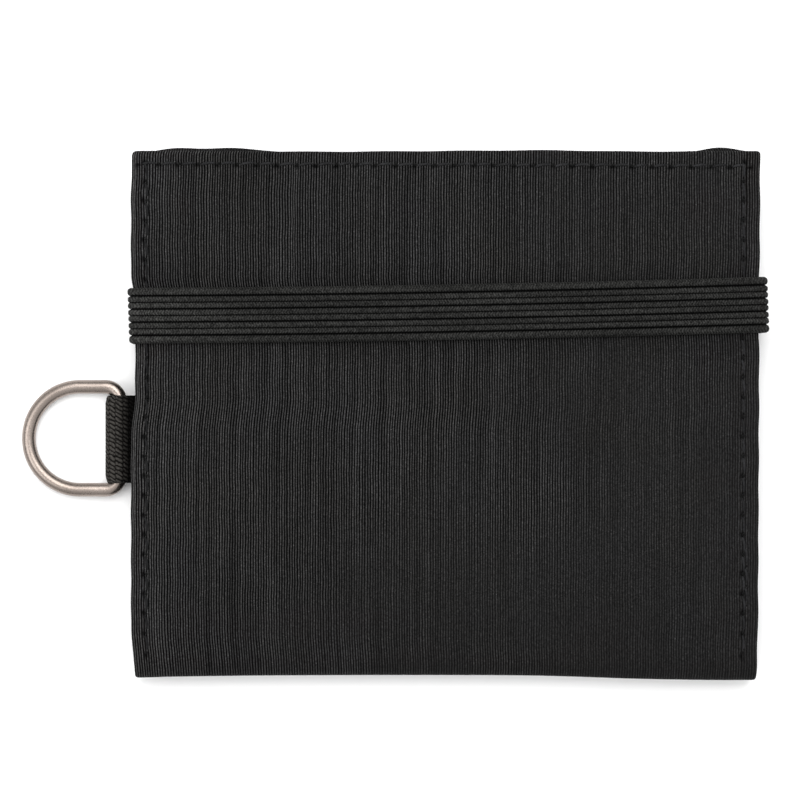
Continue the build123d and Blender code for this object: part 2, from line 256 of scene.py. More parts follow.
def cover_profile(front, depth, top, steps=120):
    """Rows down one half of the cover and round to the middle of the fold: (y, z, ny, nz, distance)."""
    radius = FOLD_RADIUS - depth
    flat_end = FOLD_Y + FOLD_RADIUS
    rows = []
    for i in range(5):
        rows.append((FOLD_Y + depth, THICKNESS / 2 - (THICKNESS / 2 - FOLD_RADIUS) * i / 5, -1, 0))
    for i in range(11):
        a = math.pi / 2 * (1 - i / 10)
        y = flat_end - radius * math.sin(a)
        rows.append((y, FOLD_RADIUS - radius * math.cos(a), -math.sin(a), -math.cos(a)))
    for i in range(1, steps + 1):
        t = i / steps
        rows.append((flat_end + (top - flat_end) * (1.35 * t - 0.35 * t**3), depth, 0, -1))
    rows = np.array(rows)
    if front:
        rows[:, 1], rows[:, 3] = THICKNESS - rows[:, 1], -rows[:, 3]
    along = np.r_[0, np.cumsum(np.hypot(np.diff(rows[:, 0]), np.diff(rows[:, 1])))]
    return np.c_[rows, along if front else -along]


def cloth_half(name, material, front, depth, top, inset, rim, hem=None, columns=112):
    """One half of a cover or lining, from the middle of the fold to the opening edge, with rolled edges.

    rim is the radius of those edges. hem, where there is one, is the thickness of the cloth inside it.
    """
    profile = cover_profile(front, depth, top - rim)
    turn = np.linspace(0, math.pi, 7)[1:-1]
    c = np.linspace(-1, 1, columns)
    c = np.sin(c * 1.25) / math.sin(1.25)
    points, v_rows = [], []
    sides = front_sides if front else back_sides
    edge_line = front_top if front else back_top
    tips = [(1.0, 0.0)] * len(profile)
    tips += [(math.cos(t), math.sin(t)) for t in np.linspace(0, math.pi / 2, 6)[1:]]
    rows = np.vstack([profile, np.repeat(profile[-1:], 5, axis=0)])
    for (y, z, ny, nz, s), (shrink, reach) in zip(rows, tips):
        y = y + rim * reach
        left, right = sides(np.float64(y))
        left, right = left + inset, right - inset
        corner = max(0.0, y - (top - 1.0))
        pull = 1 - math.sqrt(max(0.0, 1 - min(corner, 1.0) ** 2))
        low = ease((-37.5 - y) / 5) * 0.35
        left, right = left + pull * 0.35 + low, right - pull * 0.15 - low * 0.5
        flat = left + rim + (right - left - 2 * rim) * (c + 1) / 2
        x = np.r_[flat, right - rim + rim * shrink * np.sin(turn), flat[::-1]]
        x = np.r_[x, left + rim - rim * shrink * np.sin(turn)]
        thick = np.full(columns, 2 * rim)
        if hem:
            near = np.minimum(np.minimum(flat - left, right - flat), np.maximum(top - y, 0))
            folded = 1 - ease((near - HEM_WIDTH) / 0.8)
            if y < FOLD_Y + FOLD_RADIUS + 1:
                folded = folded * ease((y - FOLD_Y - FOLD_RADIUS + 4) / 4)
            thick = hem + (2 * rim - hem) * folded
        rolled = rim - rim * np.cos(turn)
        ends = thick[-1] / (2 * rim)
        down = np.r_[np.zeros(columns), rolled * ends, thick[::-1], rolled[::-1] * ends]
        down = rim + (down - rim) * shrink
        push = -down
        py = np.full(len(x), y)
        if front:
            push = push + front_bulge(x, py) * ease((y - FOLD_Y) / 14)
        elif hem:
            push = push - seam_groove(x, py)
        py = py + (edge_line(x) - TOP_EDGE) * ease((y - 36) / 10) + fold_shift(x) * ease((-36 - y) / 9)
        points.append(np.c_[x, py + ny * push, np.full(len(x), z) + nz * push])
        v_rows.append(s + (1 if front else -1) * rim * reach)
    n = len(points[0])
    u = np.r_[flat, right - rim + rim * turn, flat[::-1], left + rim - rim * turn]
    u_to = np.r_[u[1:], u[0]]
    u_to[columns + len(turn) - 1] = right - rim + rim * math.pi
    u_to[n - 1] = left + rim - rim * math.pi
    faces, uvs = tube_faces(len(points), n), tube_uvs(u, u_to, v_rows)
    for m in range(columns - 1):
        k = 2 * columns + len(turn) - 1 - m
        faces.append((m, m + 1, k - 1, k))
        uvs += [(u[m], 0), (u[m + 1], 0), (u[m + 1], 1), (u[m], 1)]
    return make_object(name, np.vstack(points), faces, uvs, material)


def sweep(name, path, normals, profile, material, scale=None, marks=None):
    """A closed profile, as (across Y, along the normal), carried along a path and capped.

    marks, one for each point of the profile, are kept as the attribute "groove".
    """
    path, normals = np.asarray(path, float), np.asarray(normals, float)
    rows, columns = len(path), len(profile)
    scale = np.ones(rows) if scale is None else scale
    across = profile[:, :1] * np.array([0.0, 1.0, 0.0])
    points = [p + across + profile[:, 1:] * n * k for p, n, k in zip(path, normals, scale)]
    step = np.linalg.norm(np.diff(path, axis=0), axis=1)
    along = np.r_[0, np.cumsum(step)]
    around = np.r_[0, np.cumsum(np.linalg.norm(np.diff(np.vstack([profile, profile[:1]]), axis=0), axis=1))]
    faces, uvs = tube_faces(rows, columns), tube_uvs(around[:-1], around[1:], along)
    for j in (0, rows - 1):
        faces.append(tuple(range(j * columns, (j + 1) * columns)))
        uvs += [(around[m], along[j]) for m in range(columns)]
    marked = None if marks is None else np.tile(marks, rows)
    return make_object(name, np.vstack(points), faces, uvs, material, marks=marked)


def soft_copy(node, material, lifted, step=3.0, roll=0.1):
    """A flat cloth layer with the outline of its solid: edges rolled, faces small, lifted with the front."""
    source = frame["nodes"][node]
    mesh = source.data.copy()
    mesh.name = node + "_cloth"
    mesh.materials.clear()
    bm = bmesh.new()
    bm.from_mesh(mesh)
    bmesh.ops.remove_doubles(bm, verts=bm.verts, dist=1e-6)
    bmesh.ops.dissolve_limit(bm, angle_limit=0.02, verts=bm.verts, edges=bm.edges)
    sharp = [e for e in bm.edges if len(e.link_faces) == 2 and e.calc_face_angle(0) > 0.6]
    rolled = {"offset": roll * MM, "segments": 2, "profile": 0.5, "affect": "EDGES", "clamp_overlap": True}
    bmesh.ops.bevel(bm, geom=sharp, **rolled)
    low = [min(v.co[k] for v in bm.verts) for k in range(3)]
    high = [max(v.co[k] for v in bm.verts) for k in range(3)]
    for k in (0, 1):
        count = int((high[k] - low[k]) / (step * MM))
        for i in range(1, count):
            place, normal = [0.0, 0.0, 0.0], [0.0, 0.0, 0.0]
            place[k] = low[k] + (high[k] - low[k]) * i / count
            normal[k] = 1.0
            geom = bm.verts[:] + bm.edges[:] + bm.faces[:]
            bmesh.ops.bisect_plane(bm, geom=geom, dist=1e-7, plane_co=place, plane_no=normal)
    if lifted:
        for v in bm.verts:
            v.co.z += on_front(v.co.x / MM, v.co.y / MM)[2] * MM - THICKNESS * MM
    uv = bm.loops.layers.uv.new("UVMap") if not bm.loops.layers.uv else bm.loops.layers.uv[0]
    for f in bm.faces:
        for loop in f.loops:
            loop[uv].uv = (loop.vert.co.x, loop.vert.co.y)
    bm.to_mesh(mesh)
    bm.free()
    mesh.shade_smooth()
    mesh.set_sharp_from_angle(angle=math.radians(70))
    mesh.materials.append(material)
    obj = new_object(node + "_cloth", mesh)
    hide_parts(node)
    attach(obj, source["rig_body"])
    return obj


# ---- Materials ---------------------------------------------------------------------------------
MATH = "ShaderNodeMath"
RANGE = "ShaderNodeMapRange"
NOISE = "ShaderNodeTexNoise"
MIX = "ShaderNodeMix"
# Fixed values of the cloths: all but no shine outside, and a faint one inside.
DULL = {"Specular_IOR_Level": 0.02, "Sheen_Weight": 0.005, "IOR": 1.53}
FAINT_SHINE = {"Specular_IOR_Level": 0.15, "Sheen_Weight": 0.02, "IOR": 1.53}


def colour(code):
    """An sRGB hex colour as linear RGBA."""
    parts = [int(code[i : i + 2], 16) / 255 for i in (1, 3, 5)]
    return (*[p / 12.92 if p <= 0.04045 else ((p + 0.055) / 1.055) ** 2.4 for p in parts], 1.0)


def add(tree, kind, *values, inputs=None, out=0, **settings):
    """Adds a node and gives one of its outputs, or the node itself where out is None.

    values fill its inputs in order, and inputs by name or number. Each is a value or a socket to link.
    """
    made = tree.nodes.new(kind)
    for key, value in settings.items():
        setattr(made, key, value)
    for key, value in [*enumerate(values), *(inputs or {}).items()]:
        if isinstance(value, bpy.types.NodeSocket):
            tree.links.new(value, made.inputs[key])
        else:
            made.inputs[key].default_value = value
    return made if out is None else made.outputs[out]


def new_material(name):
    """The empty node tree of a new material."""
    made = bpy.data.materials.new(name)
    made.use_nodes = True
    made.node_tree.nodes.clear()
    return made.node_tree


def finish_material(tree, lit, dark, light, roughness, height=None, depth=0.05, bright=False, **more):
    """The shader and output: lit takes the colour from dark to light, and past light where bright.

    depth is the relief's height in millimetres, and more holds fixed values of the shader.
    """
    shades = [colour(shade) if isinstance(shade, str) else shade for shade in (dark, light)]
    mixed = {0: lit, 6: shades[0], 7: shades[1]}
    base = add(tree, MIX, inputs=mixed, out=2, data_type="RGBA", clamp_factor=not bright)
    inputs = {"Base Color": base, "Roughness": roughness}
    inputs.update({key.replace("_", " "): value for key, value in more.items()})
    if height is not None:
        relief = {"Strength": 1.0, "Distance": depth * MM, "Height": height}
        inputs["Normal"] = add(tree, "ShaderNodeBump", inputs=relief)
    shader = add(tree, "ShaderNodeBsdfPrincipled", inputs=inputs)
    add(tree, "ShaderNodeOutputMaterial", shader, out=None)


def uv_axes(tree):
    """The piece's own uv as two distances in millimetres."""
    uv = add(tree, "ShaderNodeUVMap", uv_map="UVMap")
    scaled = add(tree, "ShaderNodeVectorMath", uv, inputs={3: 1 / MM}, operation="SCALE")
    split = add(tree, "ShaderNodeSeparateXYZ", scaled, out=None)
    return split.outputs[0], split.outputs[1]


def stretched_noise(tree, u, v, across, along, seed, detail=2.0):
    """Noise with features that far apart across and along, in millimetres."""
    x = add(tree, MATH, u, across, operation="DIVIDE")
    y = add(tree, MATH, v, along, operation="DIVIDE")
    place = add(tree, "ShaderNodeCombineXYZ", x, y, seed)
    return add(tree, NOISE, place, inputs={"Scale": 1.0, "Detail": detail})


def ridges(tree, t, pitch):
    """Rounded ridges, 0 in the groove and 1 on the crest, one for each pitch."""
    turn = add(tree, MATH, t, math.pi / pitch, operation="MULTIPLY")
    wave = add(tree, MATH, turn, operation="SINE")
    return add(tree, MATH, wave, operation="ABSOLUTE")


def vary(tree, value, by, least, most, spread=(0.3, 0.7)):
    """The value times a factor that goes from least to most as by goes over its spread."""
    factor = add(tree, RANGE, by, *spread, least, most)
    return add(tree, MATH, value, factor, operation="MULTIPLY")


def corded_nylon(name):
    """Faille: thick cords under a fine warp make close ribs, with painted shade in the grooves and a painted
    silky highlight on top.
    """
    settings = bpy.context.scene.wallet_finish
    tree = new_material(name)
    u, v = uv_axes(tree)
    place = u
    wanders = ((4.0, 60.0, 3.1, 0.45), (0.9, 45.0, 4.7, 0.18), (1.7, 1.9, 9.2, 0.14))
    for across, along, seed, reach in wanders:
        wander = stretched_noise(tree, u, v, across, along, seed)
        place = add(tree, MATH, wander, reach, place, operation="MULTIPLY_ADD")
    rib = ridges(tree, place, settings.rib_pitch / MM)
    # Painted highlight on each rib's crest, painted shade in each groove.
    lit = add(tree, RANGE, rib, 0.5, 1.0, 0.0, 1.3, interpolation_type="SMOOTHSTEP")
    lit = vary(tree, lit, stretched_noise(tree, u, v, 0.55, 28.0, 7.7), 0.6, 1.2)
    slack = stretched_noise(tree, u, v, 22.0, 30.0, 1.3)
    slack = add(tree, MATH, u, -0.006, slack, operation="MULTIPLY_ADD")
    slack = add(tree, MATH, v, 0.004, slack, operation="MULTIPLY_ADD")
    even = add(tree, RANGE, slack, 0.32, 0.75, 0.65, 0.0)
    lit = add(tree, MIX, inputs={0: even, 2: lit, 3: 0.42}, out=0, data_type="FLOAT")
    # Painted shade round each needle hole, where the cloth dips.
    lit = vary(tree, lit, needle_shade_distance(tree, u, v), 0.15, 1.0, spread=(0.75, 1.6))
    speck = stretched_noise(tree, u, v, 0.21, 0.22, 5.5, 1.0)
    lit = vary(tree, lit, speck, 0.5, 1.35)
    # The brightest specks get painted glints.
    lit = vary(tree, lit, speck, 1.0, 1.8, spread=(0.69, 0.78))
    # Painted highlight along the left edge.
    lit = vary(tree, lit, u, 1.3, 1.0, spread=(-56.0, -38.0))
    # Painted shade, darker towards the fold.
    lit = vary(tree, lit, v, 0.86, 1.0, spread=(6.0, 34.0))
    # Painted shadow of the band on the cloth on either side of it.
    beside_band = add(tree, MATH, v, BAND_Y + up_the_cloth(), operation="SUBTRACT")
    beside_band = add(tree, MATH, beside_band, operation="ABSOLUTE")
    lit = vary(tree, lit, beside_band, 0.78, 1.0, spread=(4.5, 9.5))
    tint = stretched_noise(tree, u, v, 9.0, 14.0, 11.2, 1.0)
    tones = {0: tint, 6: (*settings.cloth_colour, 1.0), 7: colour("#2f2e2d")}
    tone = add(tree, MIX, inputs=tones, out=2, data_type="RGBA")
    rough = add(tree, RANGE, lit, 0.0, 1.0, 0.95, 0.6)
    height = add(tree, MATH, speck, 0.3, rib, operation="MULTIPLY_ADD")
    finish_material(tree, lit, "#010101", tone, rough, height, 0.12, bright=True, **DULL)


def up_the_cloth():
    """Added to a height on the flat, this gives the distance along the cloth from the middle of the fold."""
    return THICKNESS / 2 + FOLD_RADIUS * (math.pi / 2 - 2) - FOLD_Y


def needle_shade_distance(tree, u, v):
    """How far off the nearest needle hole is: 0 at the hole and 1 where the cloth lies smooth. The cover
    paints shade round each hole by it.
    """
    reach = up_the_cloth()
    high = add(tree, MATH, v, operation="ABSOLUTE")
    side = add(tree, MATH, u, operation="ABSOLUTE")
    top_line = add(tree, MATH, u, -0.0045, seam_top(0) + reach, operation="MULTIPLY_ADD")
    rows = (
        (u, 0.0, add(tree, MATH, high, top_line, operation="SUBTRACT")),
        (high, ROW_TOP + reach, add(tree, MATH, side, SEAM_X, operation="SUBTRACT")),
    )
    found = []
    for along, start, off in rows:
        step = add(tree, MATH, along, start, operation="SUBTRACT")
        to_hole = add(tree, MATH, step, STITCH_PITCH / 2, operation="PINGPONG")
        to_hole = add(tree, RANGE, to_hole, 0.0, STITCH_PITCH / 2, STITCH_PITCH / 2 / 0.8, 0.0)
        off = add(tree, MATH, off, 0.5, operation="DIVIDE")
        place = add(tree, "ShaderNodeCombineXYZ", to_hole, off)
        found.append(add(tree, "ShaderNodeVectorMath", place, out="Value", operation="LENGTH"))
    past_end = add(tree, RANGE, high, reach - 43.5, reach - 43.0, 3.0, 0.0)
    found[1] = add(tree, MATH, found[1], past_end, operation="ADD")
    nearest = add(tree, MATH, *found, operation="MINIMUM")
    uneven = stretched_noise(tree, u, v, 1.1, 1.1, 6.6)
    return add(tree, MATH, uneven, 1.0, nearest, operation="MULTIPLY_ADD")


def woven_cloth(name, dark, light, pitch, depth, rough=0.75):
    """Plain weave: two sets of threads pass over and under each other, for a fine even grain."""
    tree = new_material(name)
    u, v = uv_axes(tree)
    weave = add(tree, MATH, ridges(tree, u, pitch), ridges(tree, v, pitch * 1.15), operation="MULTIPLY")
    lit = vary(tree, weave, stretched_noise(tree, u, v, 0.6, 0.6, 2.2), 0.5, 1.2)
    lit = vary(tree, lit, stretched_noise(tree, u, v, 14.0, 20.0, 4.1), 0.7, 1.1)
    finish_material(tree, lit, dark, light, rough, weave, depth, **FAINT_SHINE)


def twill_tape(name, dark, light, pitch, slant):
    """Woven tape: its diagonals turn back every few millimetres, so that they make a herringbone."""
    tree = new_material(name)
    u, v = uv_axes(tree)
    zig = add(tree, MATH, u, slant, operation="PINGPONG")
    line = ridges(tree, add(tree, MATH, v, zig, operation="ADD"), pitch)
    strand = ridges(tree, u, pitch * 0.62)
    lit = vary(tree, line, strand, 0.35, 1.0, spread=(0.0, 1.0))
    lit = vary(tree, lit, stretched_noise(tree, u, v, 0.5, 0.5, 8.2), 0.6, 1.2)
    finish_material(tree, lit, dark, light, 0.72, line, 0.12, **FAINT_SHINE)


def thick_webbing(name, dark, light, row, column):
    """Braided webbing: short slanting strands in columns, each column half a strand on from the last."""
    tree = new_material(name)
    u, v = uv_axes(tree)
    bend = stretched_noise(tree, u, v, 1.8, 1.8, 3.3)
    u = add(tree, MATH, bend, 0.9, u, operation="MULTIPLY_ADD")
    place = add(tree, MATH, v, column, operation="DIVIDE")
    part = add(tree, MATH, place, operation="FRACT")
    number = add(tree, MATH, place, operation="FLOOR")
    slant = add(tree, MATH, part, row * 0.9, u, operation="MULTIPLY_ADD")
    slant = add(tree, MATH, number, row * 0.5, slant, operation="MULTIPLY_ADD")
    strand = ridges(tree, slant, row)
    gap = ridges(tree, v, column)
    relief = vary(tree, strand, gap, 0.45, 1.0, spread=(0.0, 0.5))
    lit = add(tree, RANGE, relief, 0.2, 0.95, 0.05, 1.1)
    lit = vary(tree, lit, stretched_noise(tree, u, v, 0.25, 0.3, 8.2), 0.25, 1.6)
    # Painted shadow where the tab runs in under the wallet's edge.
    lit = vary(tree, lit, v, 0.1, 1.15, spread=(5.2, 8.0))
    finish_material(tree, lit, dark, light, 0.7, relief, 0.2, **DULL)


def braided_elastic(name):
    """Covered rubber cords side by side: tiny slanting stitches over each, and painted shade as a black line
    between cords.
    """
    tree = new_material(name)
    u, v = uv_axes(tree)
    side = add(tree, MATH, u, 0.6, operation="PINGPONG")
    stitch = ridges(tree, add(tree, MATH, side, 0.55, v, operation="MULTIPLY_ADD"), 0.5)
    fuzz = stretched_noise(tree, u, v, 0.26, 0.3, 6.4)
    lit = add(tree, RANGE, stitch, 0.1, 0.9, 0.45, 1.0)
    lit = vary(tree, lit, fuzz, 0.25, 1.6)
    lit = vary(tree, lit, stretched_noise(tree, u, v, 1.4, 22.0, 9.9), 0.75, 1.15)
    # Painted highlight, brightest over the band's left turn and fading along the front.
    lit = vary(tree, lit, v, 1.45, 0.98, spread=(18.0, 36.0))
    # Painted shade in the grooves between the cords, darkest where they dip most.
    groove = add(tree, "ShaderNodeAttribute", out="Fac", attribute_name="groove")
    line = add(tree, MATH, stitch, -0.2, groove, operation="MULTIPLY_ADD")
    lit = vary(tree, lit, line, 1.0, 0.0, spread=(0.0, 0.4))
    light = (*bpy.context.scene.wallet_finish.band_colour, 1.0)
    height = add(tree, MATH, fuzz, 0.5, stitch, operation="MULTIPLY_ADD")
    fixed = {"Specular_IOR_Level": 0.02, "Sheen_Weight": 0.01, "IOR": 1.5}
    finish_material(tree, lit, "#020202", light, 0.82, height, 0.1, bright=True, **fixed)


def spun_thread(name, dark, light):
    """Three-ply sewing thread: a close twist, lit a little, with painted shade on the left row, which lies
    deep in a rib.
    """
    tree = new_material(name)
    place = add(tree, "ShaderNodeTexCoord", out="Object")
    twist = add(tree, NOISE, place, inputs={"Scale": 2600.0, "Detail": 1.0})
    tone = add(tree, NOISE, place, inputs={"Scale": 500.0, "Detail": 1.0})
    lit = add(tree, MATH, twist, tone, operation="MULTIPLY")
    x = add(tree, "ShaderNodeSeparateXYZ", place, out=0)
    # Painted shade on the stitches at the left edge.
    lit = vary(tree, lit, x, 0.5, 1.0, spread=((0.4 - SEAM_X) * MM, (1 - SEAM_X) * MM))
    finish_material(tree, lit, dark, light, 0.7, twist, 0.04, Specular_IOR_Level=0.08)


def plated_metal(name, dark, light, rough, grain):
    """Plated and tumbled metal: soft highlights, a fine random grain and a slight drift in tone."""
    tree = new_material(name)
    place = add(tree, "ShaderNodeTexCoord", out="Object")
    fine = add(tree, NOISE, place, inputs={"Scale": 1 / (grain * MM), "Detail": 3.0})
    broad = add(tree, NOISE, place, inputs={"Scale": 160.0, "Detail": 2.0})
    roughness = add(tree, RANGE, fine, 0.3, 0.7, rough - 0.08, rough + 0.1)
    finish_material(tree, broad, dark, light, roughness, fine, 0.012, Metallic=1.0)


def moulded_plastic(name, dark, light, rough, grain):
    """Moulded plastic with a fine grain."""
    tree = new_material(name)
    place = add(tree, "ShaderNodeTexCoord", out="Object")
    fine = add(tree, NOISE, place, inputs={"Scale": 1 / (grain * MM), "Detail": 2.0})
    finish_material(tree, fine, dark, light, rough, fine, 0.01, IOR=1.5)


MATERIALS = {
    # Outer cloth: fine upright ribs, with painted shade between them and a broken painted highlight along
    # their tops.
    "corded nylon faille": (corded_nylon,),
    # Band: eight dull cords that read as one grey strap, with painted shade as dark lines between the cords
    # and a painted highlight towards its left end.
    "braided elastic": (braided_elastic,),
    # Ring tab: coarse slanting strands, far rougher than the cloth beside it, with a painted shadow where it
    # runs in under the wallet.
    "thick webbing": (thick_webbing, "#010101", "#3e3c39", 0.78, 1.06),
    # Linings, card slots and gusset: smooth and faintly shiny.
    "nylon taffeta": (woven_cloth, "#060607", "#232326", 0.28, 0.03, 0.6),
    # Pocket faces and walls: a coarser, matt grain.
    "oxford nylon": (woven_cloth, "#060607", "#2a2a2e", 0.5, 0.08),
    # Bindings and seam tapes: fine diagonal lines.
    "grosgrain tape": (twill_tape, "#060606", "#262627", 0.6, 40.0),
    # Zip tapes: a small herringbone.
    "zip tape": (twill_tape, "#060607", "#242426", 0.5, 1.0),
    # Cloth drawn into a needle hole, black with painted shade: a dot at each end of a stitch.
    "needle hole": (woven_cloth, "#010101", "#050505", 0.28, 0.02, 0.9),
    # Sewing thread: a shade lighter and smoother than the cloth, with painted shade on the left row.
    "polyester thread": (spun_thread, "#0b0b0b", "#3c3c3e"),
    # Zip coils: dark, slightly glossy nylon.
    "nylon monofilament": (moulded_plastic, "#141415", "#1e1e20", 0.38, 0.4),
    # Stiffeners: matt grey board.
    "polypropylene board": (moulded_plastic, "#2c2c2c", "#404040", 0.55, 0.6),
    # Slider, pull and stops: pale, worn plating.
    "plated zinc": (plated_metal, "#77756f", "#a29f99", 0.34, 0.25),
    # D-ring: satin, a little warm, with a sandy grain.
    "satin nickel steel": (plated_metal, "#756b64", "#9b9089", 0.3, 0.22),
}


def get_material(key):
    """The material of that name, made when it is first asked for."""
    if key not in bpy.data.materials:
        maker, *values = MATERIALS[key]
        maker(key, *values)
    return bpy.data.materials[key]


# ---- Rows of stitches and zip teeth --------------------------------------------------------------
def row_tree():
    """Pieces set along a line and turned to follow it, each leaning a little across the line."""
    if "Pieces in a row" in bpy.data.node_groups:
        return bpy.data.node_groups["Pieces in a row"]
    tree = bpy.data.node_groups.new("Pieces in a row", "GeometryNodeTree")
    sockets = (
        ("Line", "INPUT", "NodeSocketGeometry"),
        ("Piece", "INPUT", "NodeSocketObject"),
        ("Pitch", "INPUT", "NodeSocketFloat"),
        ("Tilt", "INPUT", "NodeSocketFloat"),
        ("Wobble", "INPUT", "NodeSocketFloat"),
        ("Seed", "INPUT", "NodeSocketInt"),
        ("Material", "INPUT", "NodeSocketMaterial"),
        ("Row", "OUTPUT", "NodeSocketGeometry"),
    )
    for name, direction, kind in sockets:
        tree.interface.new_socket(name, in_out=direction, socket_type=kind)
    given = add(tree, "NodeGroupInput", out=None).outputs
    curve = add(tree, "GeometryNodeMeshToCurve", given["Line"])
    spacing = {"Length": given["Pitch"]}
    points = add(tree, "GeometryNodeCurveToPoints", curve, inputs=spacing, out=None, mode="LENGTH").outputs
    along = {"Vector": points["Tangent"]}
    facing = add(tree, "FunctionNodeAlignRotationToVector", inputs=along, axis="X", pivot_axis="Z")
    least = add(tree, MATH, given["Wobble"], -1.0, operation="MULTIPLY")
    spread = {2: least, 3: given["Wobble"], "Seed": given["Seed"]}
    swing = add(tree, "FunctionNodeRandomValue", inputs=spread, out=1, data_type="FLOAT")
    lean = add(tree, MATH, given["Tilt"], swing, operation="ADD")
    turn = add(tree, "ShaderNodeCombineXYZ", inputs={2: lean})
    turned = {"Rotation": facing, "Rotate By": turn}
    rotation = add(tree, "FunctionNodeRotateRotation", inputs=turned, rotation_space="LOCAL")
    piece = add(tree, "GeometryNodeObjectInfo", inputs={"Object": given["Piece"]}, out="Geometry")
    placing = {"Points": points["Points"], "Instance": piece, "Rotation": rotation}
    placed = add(tree, "GeometryNodeInstanceOnPoints", inputs=placing)
    real = add(tree, "GeometryNodeRealizeInstances", placed)
    colouring = {"Geometry": real, "Material": given["Material"]}
    coloured = add(tree, "GeometryNodeSetMaterial", inputs=colouring)
    add(tree, "NodeGroupOutput", coloured, out=None)
    return tree


def stitch_shape(length, radius, facing=1):
    """One stitch: thread that comes up out of a hole, bows a little sideways and sinks towards the next."""
    sides = 8
    # Share of the length, height and share of the thickness, from hole to hole.
    spine = (
        (0.0, -0.3, 0.0),
        (0.1, 0.05, 0.85),
        (0.3, 0.14, 1.0),
        (0.55, 0.08, 1.0),
        (0.82, -0.08, 0.9),
        (1.0, -0.35, 0.0),
    )
    points, faces = [], []
    for t, z, thick in spine:
        for k in range(sides if thick else 1):
            a = 2 * math.pi * k / sides
            across = 0.2 * math.sin(math.pi * t) - 0.08 + radius * thick * math.cos(a)
            up = z - radius * 0.6 + radius * thick * math.sin(a)
            points.append((length * (t - 0.5), across, facing * up))
    last = len(points) - 1
    for k in range(sides):
        n = (k + 1) % sides
        faces += [(0, 1 + n, 1 + k), (last - sides + k, last - sides + n, last)]
        for i in range(len(spine) - 3):
            a, b = 1 + i * sides, 1 + (i + 1) * sides
            faces.append((a + k, a + n, b + n, b + k))
    return make_object("one stitch", points, faces, sharp=180)


def hole_shape(pitch, facing=1):
    """The cloth drawn down round a needle hole, half a stitch on from the middle of the stitch; it carries
    the painted shade of the hole.
    """
    sides, points = 10, [(pitch / 2, 0, 0.0)]
    for reach, height in ((0.5, 0.02), (1.0, -0.12)):
        for k in range(sides):
            a = 2 * math.pi * k / sides
            points.append((pitch / 2 + 0.3 * reach * math.cos(a), 0.24 * reach * math.sin(a), height))
    points.append((pitch / 2, 0, -0.14))
    points = [(x, y, z * facing) for x, y, z in points]
    faces = []
    for k in range(sides):
        n = (k + 1) % sides
        outer, outer_next = 1 + sides + k, 1 + sides + n
        faces += [(0, 1 + k, 1 + n), (1 + k, outer, outer_next, 1 + n), (outer, 1 + 2 * sides, outer_next)]
    return make_object("one needle hole", points, faces, sharp=180)


def coil_shape(side, width, height, wire):
    """One turn of zip coil: a flattened loop of monofilament with its head towards the other row."""
    sides, turns, points = 6, 12, []
    for i in range(turns):
        a = 2 * math.pi * i / turns
        centre = (0.0, math.cos(a) * (width / 2 - wire), math.sin(a) * (height / 2 - wire))
        out = (0.0, math.cos(a), math.sin(a))
        swell = 1.25 if math.cos(a) * side < -0.7 else 1.0
        for k in range(sides):
            b = 2 * math.pi * k / sides
            ring = [wire * swell * math.cos(b) * out[j] for j in range(3)]
            x = wire * swell * math.sin(b) + 0.12 * math.sin(a)
            points.append((x, centre[1] + ring[1], centre[2] + ring[2]))
    return make_object("one coil", points, tube_faces(turns, sides, closed=True), sharp=180)


def build_rows(name, lines, piece, pitch, tilt, wobble, seed, material):
    """Runs the row tree on lines of points in millimetres and keeps the result as one plain mesh."""
    points, edges = [], []
    for line in lines:
        start = len(points)
        points += [tuple(c * MM for c in p) for p in line]
        edges += [(start + i, start + i + 1) for i in range(len(line) - 1)]
    mesh = bpy.data.meshes.new(name + " line")
    mesh.from_pydata(points, edges, [])
    line_object = new_object(name + " line", mesh)
    tree = row_tree()
    modifier = line_object.modifiers.new("Row", "NODES")
    modifier.node_group = tree
    values = {"Piece": piece, "Pitch": pitch * MM, "Tilt": tilt, "Wobble": wobble, "Seed": seed}
    values["Material"] = material
    for item in tree.interface.items_tree:
        if item.in_out == "INPUT" and item.name in values:
            modifier[item.identifier] = values[item.name]
    bpy.context.view_layer.update()
    graph = bpy.context.evaluated_depsgraph_get()
    made = bpy.data.meshes.new_from_object(line_object.evaluated_get(graph))
    if not made.polygons:
        raise RuntimeError(f"the row {name} came out empty")
    line_object.modifiers.remove(modifier)
    bpy.data.objects.remove(line_object)
    bpy.data.objects.remove(piece)
    made.name = name
    made.shade_smooth()
    if not made.materials:
        made.materials.append(material)
    return new_object(name, made)


def on_front(x, y, above=0.0):
    """A point on the front face."""
    rise = float(front_bulge(np.float64(x), np.float64(y)) * ease((y - FOLD_Y) / 14))
    return (float(x), float(y), THICKNESS + rise + above)


# ---- Settings -------------------------------------------------------------------------------------
class WalletFinish(bpy.types.PropertyGroup):
    """Colours and thread sizes of the wallet."""

    cloth_colour: bpy.props.FloatVectorProperty(
        name="Cloth colour",
        description="The lit top of each rib",
        subtype="COLOR",
        default=colour("#303031")[:3],
    )
    band_colour: bpy.props.FloatVectorProperty(
        name="Band colour",
        description="The lit face of the elastic",
        subtype="COLOR",
        default=colour("#2c2c2b")[:3],
    )
    rib_pitch: bpy.props.FloatProperty(
        name="Rib pitch",
        description="Distance from one rib of the cloth to the next",
        unit="LENGTH",
        default=0.455 * MM,
    )


